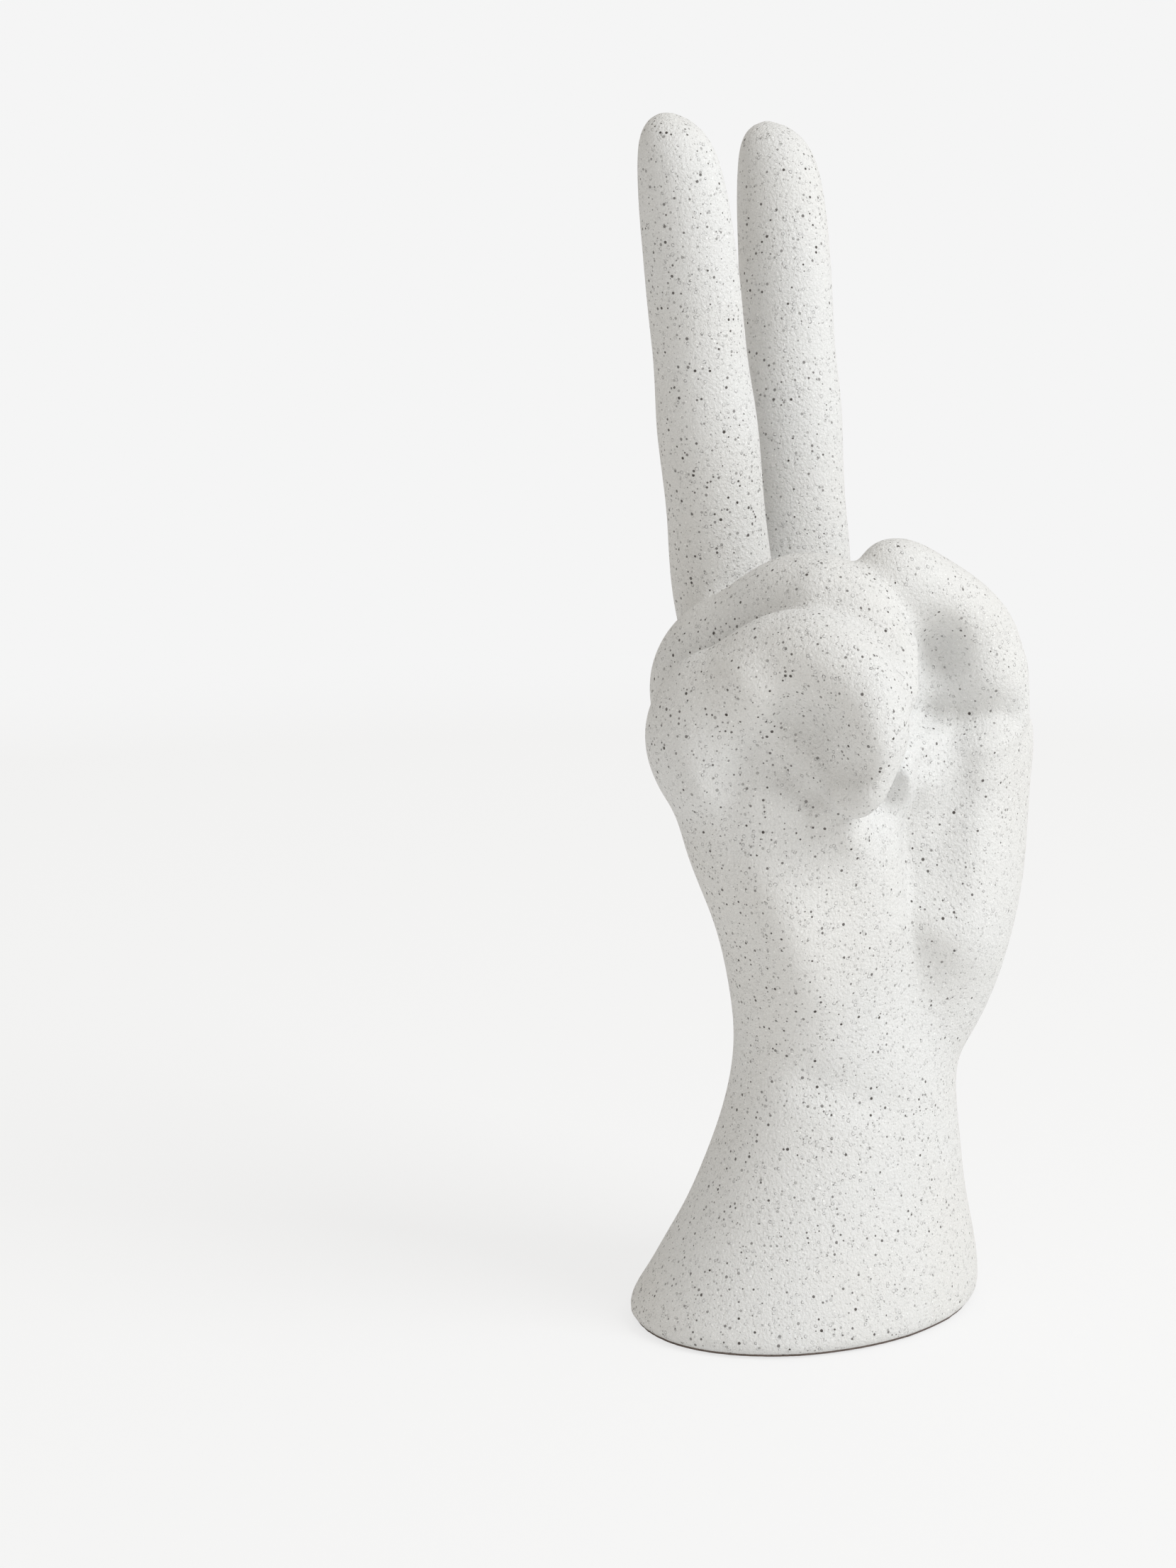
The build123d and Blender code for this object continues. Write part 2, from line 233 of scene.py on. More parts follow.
# Relief over the fine skin, given in the same way
FINE_STROKES = {
    "valley of the fist": (((948, 935), (1036, 914), (1075, 893), (1124, 863)), 0.0018, -0.0008),
    "crease of the wrist": (((1147, 1528), (1200, 1548), (1253, 1563)), 0.0042, -0.0013),
    "heel above the wrist": (((1171, 1456), (1223, 1473), (1272, 1485)), 0.0085, 0.0008),
}


class ClaySettings(PropertyGroup):
    voxel: FloatProperty(
        name="Skin Mesh", description="Edge length of the skin's mesh", default=0.0009, unit="LENGTH")
    first_voxel: FloatProperty(
        name="First Skin Mesh", description="Edge length of the first skin's mesh", default=0.0012,
        unit="LENGTH")
    seam_passes: IntProperty(
        name="Seam Passes", description="Rounds of softening where digits meet", default=8)
    valley_passes: IntProperty(
        name="Valley Passes", description="Rounds of softening in the palm and wrist", default=70)
    crease_passes: IntProperty(
        name="Crease Passes", description="Rounds of filling in the palm after the strokes", default=40)
    wall_passes: IntProperty(
        name="Wall Passes", description="Rounds of softening on the palm's far walls", default=30)
    blend_passes: IntProperty(
        name="Blend Passes", description="Rounds of softening after the strokes", default=4)
    palm_passes: IntProperty(
        name="Palm Passes", description="Rounds of softening over the palm after the strokes",
        default=12)
    polish_passes: IntProperty(
        name="Polish Passes", description="Rounds of softening over the whole skin", default=6)
    polish_growth: FloatProperty(
        name="Polish Growth", description="How far the skin grows back after polishing",
        default=0.00022, unit="LENGTH")
    clay: FloatVectorProperty(
        name="Clay", description="Colour of the fired clay body", subtype="COLOR", size=3,
        default=(0.832, 0.834, 0.831))
    warm_clay: FloatVectorProperty(
        name="Warm Clay", description="Colour of the warmer patches", subtype="COLOR", size=3,
        default=(0.82, 0.813, 0.797))
    iron: FloatVectorProperty(
        name="Iron Speck", description="Colour of the dark iron specks", subtype="COLOR", size=3,
        default=(0.055, 0.045, 0.04))
    grog: FloatVectorProperty(
        name="Grog", description="Colour of the pale grains", subtype="COLOR", size=3,
        default=(0.98, 0.98, 0.97))
    # The rim line and its colour are painted contact shadow: a dark band along the foot's lower edge
    rim_line: FloatProperty(
        name="Rim Line", description="Height of the dark line round the rim of the foot", default=0.0004,
        unit="LENGTH")
    rim_painted_shadow: FloatVectorProperty(
        name="Rim Painted Shadow", description="Colour of the dark line", subtype="COLOR", size=3,
        default=(0.20, 0.16, 0.14))
    speck_radius: FloatProperty(
        name="Speck Radius", description="Radius of a usual dark speck", default=0.00026, unit="LENGTH")
    speck_spacing: FloatProperty(
        name="Speck Spacing", description="Spacing of the dark specks in the clay",
        default=0.00115, unit="LENGTH")
    grit: FloatProperty(
        name="Grit", description="Size of the sandy grain on the surface", default=0.0006, unit="LENGTH")
    roughness: FloatProperty(
        name="Roughness", description="Roughness of the unglazed clay", default=0.78, subtype="FACTOR")


class FootSettings(PropertyGroup):
    felt: FloatVectorProperty(
        name="Felt", description="Colour of the felt", subtype="COLOR", size=3,
        default=(0.055, 0.05, 0.045))
    felt_dust: FloatVectorProperty(
        name="Felt Dust", description="Colour of the felt's pale fibres", subtype="COLOR", size=3,
        default=(0.16, 0.15, 0.135))
    fibre: FloatProperty(
        name="Fibre", description="Width of the felt's tufts", default=0.0004, unit="LENGTH")
    film: FloatVectorProperty(
        name="Film", description="Colour of the adhesive film", subtype="COLOR", size=3,
        default=(0.62, 0.60, 0.54))


class StudioSettings(PropertyGroup):
    camera_distance: FloatProperty(
        name="Camera Distance", description="From the foot's middle to the camera, along the floor",
        default=1.0, unit="LENGTH")
    camera_height: FloatProperty(
        name="Camera Height", description="Height of the camera over the table", default=0.325,
        unit="LENGTH")
    camera_angle: FloatProperty(
        name="Camera Angle", description="How far the camera stands round from the palm",
        default=math.radians(55.0), unit="ROTATION")
    camera_pan: FloatProperty(
        name="Camera Pan", description="How far the camera turns left of the foot",
        default=math.radians(2.64), unit="ROTATION")
    camera_pitch: FloatProperty(
        name="Camera Pitch", description="How far the camera looks down", default=math.radians(12.03),
        unit="ROTATION")
    focal_pixels: FloatProperty(
        name="Focal Pixels", description="Focal length in pixels of the photograph", default=6940.0)
    key_power: FloatProperty(
        name="Key Power", description="Power of the softbox in watts", default=17.0)
    key_size: FloatProperty(
        name="Key Size", description="Side of the softbox", default=0.9, unit="LENGTH")
    key_distance: FloatProperty(
        name="Key Distance", description="From the hand to the softbox", default=1.6, unit="LENGTH")
    key_turn: FloatProperty(
        name="Key Turn", description="How far right of the camera the softbox stands",
        default=math.radians(63.0), unit="ROTATION")
    key_rise: FloatProperty(
        name="Key Rise", description="Height of the softbox as an angle", default=math.radians(42.0),
        unit="ROTATION")
    room_light: FloatProperty(
        name="Room Light", description="Strength of the even light from all round", default=0.60)
    room_colour: FloatVectorProperty(
        name="Room Colour", description="Colour of the even light", subtype="COLOR", size=3,
        default=(1.0, 0.965, 0.905))
    key_colour: FloatVectorProperty(
        name="Key Colour", description="Colour of the softbox", subtype="COLOR", size=3,
        default=(0.95, 0.978, 1.0))
    backdrop: FloatVectorProperty(
        name="Backdrop", description="Colour that the camera sees behind the hand", subtype="COLOR", size=3,
        default=(0.913, 0.913, 0.913))
    floor_radius: FloatProperty(
        name="Floor Radius", description="Radius of the round floor", default=6.0, unit="LENGTH")


def in_hand(side, back, height):
    """The point at these shares of the hand's box."""
    return Vector((
        hand_low.x + hand_size.x * side,
        hand_low.y + hand_size.y * back,
        hand_low.z + hand_size.z * height))


def hand_middle():
    """The middle of the hand's box."""
    return in_hand(0.5, 0.5, 0.5)


def photo_eye(studio):
    """Where the photograph's camera stands."""
    angle = studio.camera_angle
    stand = Vector((-math.sin(angle), -math.cos(angle), 0)) * studio.camera_distance
    return stand + Vector((0, 0, studio.camera_height))


def photo_axes(studio):
    """The camera's right, up and forward."""
    heading = studio.camera_angle - studio.camera_pan
    level = Vector((math.sin(heading), math.cos(heading), 0))
    forward = level * math.cos(studio.camera_pitch) - Vector((0, 0, math.sin(studio.camera_pitch)))
    right = Vector((math.cos(heading), -math.sin(heading), 0))
    return right, right.cross(forward), forward


def sight(studio, x, y):
    """The direction from the camera through a pixel of the photograph."""
    right, up, forward = photo_axes(studio)
    across = (x - PHOTO_WIDTH / 2) / studio.focal_pixels
    down = (y - PHOTO_HEIGHT / 2) / studio.focal_pixels
    return (forward + right * across - up * down).normalized()


def towards_photo(studio):
    """The direction from the hand's middle to the camera."""
    return (photo_eye(studio) - hand_middle()).normalized()


def place_seen(studio, surface, x, y):
    """Where the line of sight through a pixel of the photograph meets a surface."""
    place = surface.ray_cast(photo_eye(studio), sight(studio, x, y))[0]
    if place is None:
        raise RuntimeError(f"No clay is seen at pixel {x}, {y}")
    return place


def linked_shell(start):
    """All faces that hang together with this vertex."""
    found = set()
    waiting = [start]
    seen = {start}
    while waiting:
        vert = waiting.pop()
        for face in vert.link_faces:
            if face not in found:
                found.add(face)
                for other in face.verts:
                    if other not in seen:
                        seen.add(other)
                        waiting.append(other)
    return found


def outer_shell(node):
    """A closed copy of the outside of the casting, without its hollow and foot recess."""
    shell = bmesh.new()
    shell.from_mesh(node.data)
    bmesh.ops.remove_doubles(shell, verts=shell.verts, dist=MERGE_DISTANCE)
    foot_middle = (felt_low + felt_high) / 2
    foot_half = (felt_high - felt_low) / 2
    floor_top = hand_low.z + hand_size.z * FOOT_ZONE_SHARE
    recess = []
    for face in shell.faces:
        middle = face.calc_center_median()
        reach = math.hypot(
            (middle.x - foot_middle.x) / foot_half.x, (middle.y - foot_middle.y) / foot_half.y)
        if reach < 1 and max(vert.co.z for vert in face.verts) < floor_top:
            recess.append(face)
    bmesh.ops.delete(shell, geom=recess, context="FACES")
    top = max(shell.verts, key=lambda vert: vert.co.z)
    outside = linked_shell(top)
    inside = [face for face in shell.faces if face not in outside]
    bmesh.ops.delete(shell, geom=inside, context="FACES")
    rim = [edge for edge in shell.edges if edge.is_boundary]
    bmesh.ops.holes_fill(shell, edges=rim, sides=0)
    lids = [face for face in shell.faces if len(face.verts) > 4]
    bmesh.ops.triangulate(shell, faces=lids)
    bmesh.ops.recalc_face_normals(shell, faces=shell.faces)
    return shell


def add_clay(shell, chain, studio):
    """Adds a chain of balls of clay, which the remeshed skin joins to the hand."""
    eye = photo_eye(studio)
    balls = [(eye + sight(studio, x, y) * distance, radius) for x, y, distance, radius in chain]
    for (first, first_radius), (last, last_radius) in zip(balls, balls[1:]):
        steps = math.ceil((last - first).length / (min(first_radius, last_radius) * BALL_STEP_SHARE))
        for step in range(steps + 1):
            share = step / steps
            radius = first_radius + (last_radius - first_radius) * share
            place = Matrix.Translation(first.lerp(last, share))
            bmesh.ops.create_icosphere(
                shell, subdivisions=BALL_SUBDIVISIONS, radius=radius, matrix=place)


def only_outside(skin):
    """Drops every shell but the one that holds the highest point."""
    outside = linked_shell(max(skin.verts, key=lambda vert: vert.co.z))
    inner = [vert for vert in skin.verts if not any(face in outside for face in vert.link_faces)]
    bmesh.ops.delete(skin, geom=inner, context="VERTS")


def remeshed(shell, voxel):
    """The shell as one even skin of small square faces."""
    mesh = bpy.data.meshes.new("skin_start")
    shell.to_mesh(mesh)
    shell.free()
    piece = bpy.data.objects.new("skin_start", mesh)
    bpy.context.scene.collection.objects.link(piece)
    remesh = piece.modifiers.new("even_skin", "REMESH")
    remesh.mode = "VOXEL"
    remesh.voxel_size = voxel
    remesh.adaptivity = 0.0
    finished = piece.evaluated_get(bpy.context.evaluated_depsgraph_get())
    even = bpy.data.meshes.new_from_object(finished)
    bpy.data.objects.remove(piece)
    skin = bmesh.new()
    skin.from_mesh(even)
    bpy.data.meshes.remove(even)
    bpy.data.meshes.remove(mesh)
    return skin


def soften(skin, passes, verts=None):
    """Relaxes the skin, or some vertices of it, evenly."""
    for step in range(passes):
        bmesh.ops.smooth_vert(
            skin, verts=verts or skin.verts, factor=SOFTEN_SHARE,
            use_axis_x=True, use_axis_y=True, use_axis_z=True)


def fill_seams(skin, passes, share_at):
    """Rounds the seams where forms meet outwards only, so that no form gets thinner."""
    skin.normal_update()
    before = [(vert.co.copy(), vert.normal.copy()) for vert in skin.verts]
    soften(skin, passes)
    for vert, (place, normal) in zip(skin.verts, before):
        lift = (vert.co - place).dot(normal)
        vert.co = place + normal * max(lift, 0.0) * share_at(place)


def ramp(value, start, end):
    """Rises smoothly from 0 at start to 1 at end."""
    share = min(max((value - start) / (end - start), 0.0), 1.0)
    return share * share * (3 - 2 * share)


def everywhere(place):
    """The same full share at every place."""
    return 1.0


def in_palm(place):
    """How far a place belongs to the palm and the back of the hand, not to the digits."""
    height = (place.z - hand_low.z) / hand_size.z
    back = (place.y - hand_low.y) / hand_size.y
    top = PALM_TOP_SHARE + PALM_BACK_RISE_SHARE * ramp(back, *PALM_BACK_SHARES)
    return 1.0 - ramp(height, top, top + PALM_FADE_SHARE)


def palm_verts(skin):
    """The part of the skin between the wrist and the fist."""
    low, high = (in_hand(0, 0, share).z for share in SOFT_PALM_SHARES)
    return [vert for vert in skin.verts if low < vert.co.z < high]


def soften_walls(skin, passes, towards):
    """Rounds the walls of the palm that the photograph doesn't face."""
    low, high = (in_hand(*shares) for shares in FAR_WALL_SHARES)
    for go in range(FAR_WALL_GOES):
        skin.normal_update()
        walls = [
            vert for vert in skin.verts
            if vert.normal.dot(towards) < FAR_WALL_FACING
            and all(least < along < most for least, along, most in zip(low, vert.co, high))]
        soften(skin, passes, walls)


def grow(skin, distance):
    """Moves the whole skin outwards."""
    skin.normal_update()
    for vert in skin.verts:
        vert.co += vert.normal * distance


def route_distances(skin, route, towards, view_share):
    """Each vertex's distance from the route, with the part along the view counted less."""
    places = np.array([vert.co[:] for vert in skin.verts])
    nearest = np.full(len(places), np.inf)
    for start, end in zip(route, route[1:]):
        start = np.array(start)
        run = np.array(end) - start
        share = np.clip((places - start) @ run / (run @ run), 0, 1)
        offset = places - start - share[:, None] * run
        along = offset @ towards
        across = offset - along[:, None] * towards
        distance = np.sqrt((across ** 2).sum(axis=1) + (view_share * along) ** 2)
        nearest = np.minimum(nearest, distance)
    return nearest


def stroke(skin, strokes, studio, relief):
    """Works every stroke of a table into the skin: inwards, or as relief towards the view."""
    view_share = VIEW_SHARE if relief else 1.0
    towards = np.array(towards_photo(studio))
    for pixels, width, height in strokes.values():
        skin.normal_update()
        skin.verts.ensure_lookup_table()
        surface = BVHTree.FromBMesh(skin)
        route = [place_seen(studio, surface, x, y) for x, y in pixels]
        weights = np.exp(-(route_distances(skin, route, towards, view_share) / width) ** 2)
        for number in np.nonzero(weights > LEAST_WEIGHT)[0]:
            vert = skin.verts[int(number)]
            if relief:
                facing = ramp(float(np.dot(vert.normal, towards)), 0.0, FULL_FACING)
                vert.co += Vector(towards) * (height * float(weights[number]) * facing)
            else:
                vert.co -= vert.normal * (height * float(weights[number]))


def flatten_foot(skin):
    """Cuts the foot flat at the rim and sinks the recess that holds the felt."""
    rim_height = hand_low.z
    bmesh.ops.bisect_plane(
        skin, geom=skin.verts[:] + skin.edges[:] + skin.faces[:], dist=CUT_DISTANCE,
        plane_co=(0, 0, rim_height + RIM_EDGE), plane_no=(0, 0, 1), clear_inner=True)
    only_outside(skin)
    rim = [edge for edge in skin.edges if edge.is_boundary]
    down = bmesh.ops.extrude_edge_only(skin, edges=rim)["geom"]
    low_verts = [item for item in down if isinstance(item, bmesh.types.BMVert)]
    for vert in low_verts:
        vert.co.z = rim_height
    low_rim = [edge for edge in skin.edges if edge.is_boundary]
    foot = bmesh.ops.contextual_create(skin, geom=low_rim)["faces"]
    rim_width = max(vert.co.x for vert in low_verts) - felt_high.x - FELT_CLEARANCE
    bmesh.ops.inset_region(skin, faces=foot, thickness=rim_width, use_even_offset=False)
    walls = bmesh.ops.extrude_face_region(skin, geom=foot)["geom"]
    roof_verts = [item for item in walls if isinstance(item, bmesh.types.BMVert)]
    for vert in roof_verts:
        vert.co.z = film_top
    bmesh.ops.delete(skin, geom=foot, context="FACES_ONLY")


def tidy_mesh(skin, name):
    """Writes the skin to a smooth-shaded mesh object at the origin."""
    bmesh.ops.recalc_face_normals(skin, faces=skin.faces)
    mesh = bpy.data.meshes.new(name)
    skin.to_mesh(mesh)
    skin.free()
    for polygon in mesh.polygons:
        polygon.use_smooth = True
    piece = bpy.data.objects.new(name, mesh)
    bpy.context.scene.collection.objects.link(piece)
    return piece


def new_material(name):
    """An empty node material with its surface shader and output joined."""
    material = bpy.data.materials.new(name)
    material.use_nodes = True
    nodes = material.node_tree.nodes
    nodes.clear()
    output = nodes.new("ShaderNodeOutputMaterial")
    surface = nodes.new("ShaderNodeBsdfPrincipled")
    material.node_tree.links.new(surface.outputs["BSDF"], output.inputs["Surface"])
    return material, surface


def feed(tree, value, socket):
    """Links another socket to this one, or writes a number or a plain colour into it."""
    if isinstance(value, bpy.types.NodeSocket):
        tree.links.new(value, socket)
    elif socket.type == "RGBA":
        socket.default_value = (*value, 1.0)
    else:
        socket.default_value = value


def add_math(tree, operation, first, second):
    """A Math node whose inputs are sockets or numbers."""
    node = tree.nodes.new("ShaderNodeMath")
    node.operation = operation
    feed(tree, first, node.inputs[0])
    feed(tree, second, node.inputs[1])
    return node.outputs["Value"]


def add_map_range(tree, value, low, high, interpolation="SMOOTHSTEP"):
    """Runs from 0 at low to 1 at high, which are sockets or numbers."""
    node = tree.nodes.new("ShaderNodeMapRange")
    node.interpolation_type = interpolation
    feed(tree, value, node.inputs["Value"])
    feed(tree, low, node.inputs["From Min"])
    feed(tree, high, node.inputs["From Max"])
    return node.outputs["Result"]


def add_mix(tree, share, first, second):
    """A colour mix whose inputs are sockets or colours."""
    node = tree.nodes.new("ShaderNodeMix")
    node.data_type = "RGBA"
    feed(tree, share, node.inputs["Factor"])
    feed(tree, first, node.inputs[MIX_FIRST_COLOUR])
    feed(tree, second, node.inputs[MIX_SECOND_COLOUR])
    return node.outputs[MIX_RESULT_COLOUR]


def darker(colour, share):
    """The colour with each of its parts at this share."""
    return tuple(part * share for part in colour)


def build_speck_group():
    """Scattered specks in the clay: how much of a speck a place holds, and how dark it is."""
    group = bpy.data.node_groups.new("Clay Specks", "ShaderNodeTree")
    group.interface.new_socket("Vector", in_out="INPUT", socket_type="NodeSocketVector")
    for name in ("Spacing", "Radius", "Share"):
        group.interface.new_socket(name, in_out="INPUT", socket_type="NodeSocketFloat")
    for name in ("Mask", "Darkness"):
        group.interface.new_socket(name, in_out="OUTPUT", socket_type="NodeSocketFloat")
    inputs = group.nodes.new("NodeGroupInput")
    outputs = group.nodes.new("NodeGroupOutput")
    cells = group.nodes.new("ShaderNodeTexVoronoi")
    cells.voronoi_dimensions = "3D"
    group.links.new(inputs.outputs["Vector"], cells.inputs["Vector"])
    group.links.new(add_math(group, "DIVIDE", 1.0, inputs.outputs["Spacing"]), cells.inputs["Scale"])
    chance = group.nodes.new("ShaderNodeSeparateColor")
    group.links.new(cells.outputs["Color"], chance.inputs["Color"])
    reach = add_math(group, "DIVIDE", inputs.outputs["Radius"], inputs.outputs["Spacing"])
    spread = add_math(group, "MULTIPLY", chance.outputs["Green"], SPECK_SIZE_SPREAD)
    edge = add_math(group, "MULTIPLY", reach, add_math(group, "ADD", spread, SPECK_LEAST_SIZE))
    core = add_math(group, "MULTIPLY", edge, SPECK_CORE_SHARE)
    inside = add_map_range(group, cells.outputs["Distance"], edge, core)
    chosen = add_math(group, "LESS_THAN", chance.outputs["Red"], inputs.outputs["Share"])
    group.links.new(add_math(group, "MULTIPLY", inside, chosen), outputs.inputs["Mask"])
    group.links.new(chance.outputs["Blue"], outputs.inputs["Darkness"])
    return group


def add_specks(tree, group, vector, spacing, radius, share):
    """One layer of specks in a material."""
    node = tree.nodes.new("ShaderNodeGroup")
    node.node_tree = group
    feed(tree, vector, node.inputs["Vector"])
    feed(tree, spacing, node.inputs["Spacing"])
    feed(tree, radius, node.inputs["Radius"])
    feed(tree, share, node.inputs["Share"])
    return node.outputs["Mask"], node.outputs["Darkness"]


def add_noise(tree, vector, size, detail, roughness=0.5):
    """A noise of this feature size in metres."""
    node = tree.nodes.new("ShaderNodeTexNoise")
    tree.links.new(vector, node.inputs["Vector"])
    node.inputs["Scale"].default_value = 1 / size
    node.inputs["Detail"].default_value = detail
    node.inputs["Roughness"].default_value = roughness
    return node.outputs["Fac"]


def add_bump(tree, height, distance, strength, normal=None):
    """A bump from a height, stacked on another one where given."""
    node = tree.nodes.new("ShaderNodeBump")
    node.inputs["Strength"].default_value = strength
    node.inputs["Distance"].default_value = distance
    tree.links.new(height, node.inputs["Height"])
    if normal is not None:
        tree.links.new(normal, node.inputs["Normal"])
    return node.outputs["Normal"]


def body_colour(tree, place, clay):
    """The clay body with its warmer patches and its fine grain."""
    clouds = add_noise(tree, place, PATCH_SIZE, detail=3.0)
    patches = add_map_range(tree, clouds, *PATCH_LIMITS)
    colour = add_mix(tree, patches, clay.clay, clay.warm_clay)
    grain = add_noise(tree, place, clay.grit * GRAIN_SIZE_SHARE, detail=2.0)
    grains = add_map_range(tree, grain, *GRAIN_LIMITS, "LINEAR")
    strength = add_math(tree, "MULTIPLY", grains, GRAIN_STRENGTH)
    return add_mix(tree, strength, colour, darker(clay.clay, GRAIN_SHADE))


def crowding(tree, place):
    """The share of places that hold a bold speck: in clouds, and fewer towards the lit side as painted
    light.
    """
    clouds = add_noise(tree, place, CROWD_SIZE, detail=2.0)
    crowd = add_map_range(tree, clouds, *CROWD_LIMITS, "LINEAR")
    across = tree.nodes.new("ShaderNodeVectorMath")
    across.operation = "DOT_PRODUCT"
    tree.links.new(place, across.inputs[0])
    across.inputs[1].default_value = LIT_SIDE
    # Painted light: fewer specks towards the lit side, so that side reads paler
    reach = hand_size.x / 2
    side = add_map_range(tree, across.outputs["Value"], reach, -reach, "LINEAR")
    crowd_part = add_math(tree, "MULTIPLY", crowd, CROWD_WEIGHT)
    side_part = add_math(tree, "MULTIPLY", side, SIDE_WEIGHT)
    return add_math(tree, "ADD", crowd_part, side_part)


def with_iron(tree, specks, place, clay, colour):
    """A colour with faint and bold iron specks in it."""
    faint, faint_dark = add_specks(
        tree, specks, place, clay.speck_spacing * FAINT_SPACING_SHARE,
        clay.speck_radius * FAINT_RADIUS_SHARE, FAINT_CHANCE)
    faint_strength = add_math(tree, "MULTIPLY", faint_dark, FAINT_STRENGTH)
    faint_share = add_math(tree, "MULTIPLY", faint, faint_strength)
    colour = add_mix(tree, faint_share, colour, clay.iron)
    bold, bold_dark = add_specks(
        tree, specks, place, clay.speck_spacing, clay.speck_radius, crowding(tree, place))
    bold_spread = add_math(tree, "MULTIPLY", bold_dark, BOLD_STRENGTH_SPREAD)
    bold_strength = add_math(tree, "ADD", bold_spread, BOLD_LEAST_STRENGTH)
    bold_share = add_math(tree, "MULTIPLY", bold, bold_strength)
    return add_mix(tree, bold_share, colour, clay.iron)


def with_rim_painted_shadow(tree, place, clay, colour):
    """A colour with painted contact shadow, a dark line round the rim of the foot, in it."""
    split = tree.nodes.new("ShaderNodeSeparateXYZ")
    tree.links.new(place, split.inputs["Vector"])
    faded = hand_low.z + clay.rim_line * RIM_FADE_SHARE
    full = hand_low.z + clay.rim_line
    # Painted contact shadow: the clay turns dark towards the rim's lower edge
    line = add_map_range(tree, split.outputs["Z"], faded, full)
    return add_mix(tree, line, colour, clay.rim_painted_shadow)


def stoneware_material(clay):
    """Unglazed off-white clay with iron specks, pale grog and a sandy grain."""
    material, surface = new_material("speckled_stoneware")
    tree = material.node_tree
    place = tree.nodes.new("ShaderNodeTexCoord").outputs["Object"]
    specks = build_speck_group()
    colour = with_iron(tree, specks, place, clay, body_colour(tree, place, clay))
    pale, pale_high = add_specks(
        tree, specks, place, clay.grit * PALE_SPACING_SHARE, clay.grit * PALE_RADIUS_SHARE,
        PALE_CHANCE)
    colour = add_mix(tree, add_math(tree, "MULTIPLY", pale, pale_high), colour, clay.grog)
    colour = with_rim_painted_shadow(tree, place, clay, colour)
    tree.links.new(colour, surface.inputs["Base Color"])
    sand = add_noise(tree, place, clay.grit, detail=4.0, roughness=0.6)
    grog, grog_high = add_specks(
        tree, specks, place, clay.grit * GROG_SPACING_SHARE, clay.grit * GROG_RADIUS_SHARE,
        GROG_CHANCE)
    raised = add_math(tree, "MULTIPLY", grog, grog_high)
    normal = add_bump(tree, sand, SAND_HEIGHT, strength=1.0)
    normal = add_bump(tree, raised, GROG_HEIGHT, strength=1.0, normal=normal)
    tree.links.new(normal, surface.inputs["Normal"])
    dull = add_map_range(tree, sand, *DULL_LIMITS, "LINEAR")
    spread = add_math(tree, "MULTIPLY", dull, DULL_SPREAD)
    rough = add_math(tree, "ADD", spread, clay.roughness - DULL_SPREAD / 2)
    tree.links.new(rough, surface.inputs["Roughness"])
    surface.inputs["Specular IOR Level"].default_value = 0.35
    return material


def felt_material(foot):
    """Dense dark felt with pale fibres."""
    material, surface = new_material("dark_felt")
    tree = material.node_tree
    place = tree.nodes.new("ShaderNodeTexCoord").outputs["Object"]
    tufts = add_noise(tree, place, foot.fibre, detail=5.0, roughness=0.7)
    fibres = add_map_range(tree, tufts, *TUFT_LIMITS)
    colour = add_mix(tree, fibres, foot.felt, foot.felt_dust)
    tree.links.new(colour, surface.inputs["Base Color"])
    normal = add_bump(tree, tufts, TUFT_HEIGHT, strength=0.8)
    tree.links.new(normal, surface.inputs["Normal"])
    surface.inputs["Roughness"].default_value = 0.95
    surface.inputs["Sheen Weight"].default_value = 0.4
    surface.inputs["Sheen Roughness"].default_value = 0.6
    return material


def film_material(foot):
    """Cloudy adhesive film."""
    material, surface = new_material("cloudy_film")
    tree = material.node_tree
    place = tree.nodes.new("ShaderNodeTexCoord").outputs["Object"]
    clouds = add_noise(tree, place, foot.fibre * CLOUD_SIZE_SHARE, detail=3.0)
    colour = add_mix(tree, clouds, foot.film, darker(foot.film, CLOUD_SHADE))
    tree.links.new(colour, surface.inputs["Base Color"])
    normal = add_bump(tree, clouds, CLOUD_HEIGHT, strength=0.4)
    tree.links.new(normal, surface.inputs["Normal"])
    surface.inputs["Roughness"].default_value = 0.4
    return material


def dress(node, material):
    """Gives a CAD node its finished material."""
    for material_slot in node.material_slots:
        material_slot.material = material


class MakeHand(Operator):
    """Make the fired clay skin of the whole hand over its casting"""

    bl_idname = "ceramic_hand.make_hand"
    bl_label = "Make Hand"

    def execute(self, context):
        clay = context.scene.ceramic_hand_clay
        studio = context.scene.ceramic_hand_studio
        shell = outer_shell(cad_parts["hand_casting"])
        for chain in CLAY_CHAINS.values():
            add_clay(shell, chain, studio)
        skin = remeshed(shell, clay.first_voxel)
        fill_seams(skin, clay.seam_passes, everywhere)
        fill_seams(skin, clay.valley_passes, in_palm)
        stroke(skin, FORM_STROKES, studio, relief=False)
        stroke(skin, RELIEF_STROKES, studio, relief=True)
        fill_seams(skin, clay.crease_passes, in_palm)
        soften_walls(skin, clay.wall_passes, towards_photo(studio))
        soften(skin, clay.blend_passes)
        soften(skin, clay.palm_passes, palm_verts(skin))
        skin = remeshed(skin, clay.voxel)
        only_outside(skin)
        stroke(skin, FINE_STROKES, studio, relief=True)
        soften(skin, clay.polish_passes)
        grow(skin, clay.polish_growth)
        flatten_foot(skin)
        piece = tidy_mesh(skin, "hand_skin")
        piece.data.materials.append(stoneware_material(clay))
        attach(piece, "root")
        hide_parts("hand_casting")
        return {"FINISHED"}


class FinishFoot(Operator):
    """Give the felt sheet and its adhesive film their finish"""

    bl_idname = "ceramic_hand.finish_foot"
    bl_label = "Finish Foot"

    def execute(self, context):
        foot = context.scene.ceramic_hand_foot
        dress(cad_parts["felt_pad"], felt_material(foot))
        dress(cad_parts["pad_adhesive"], film_material(foot))
        return {"FINISHED"}


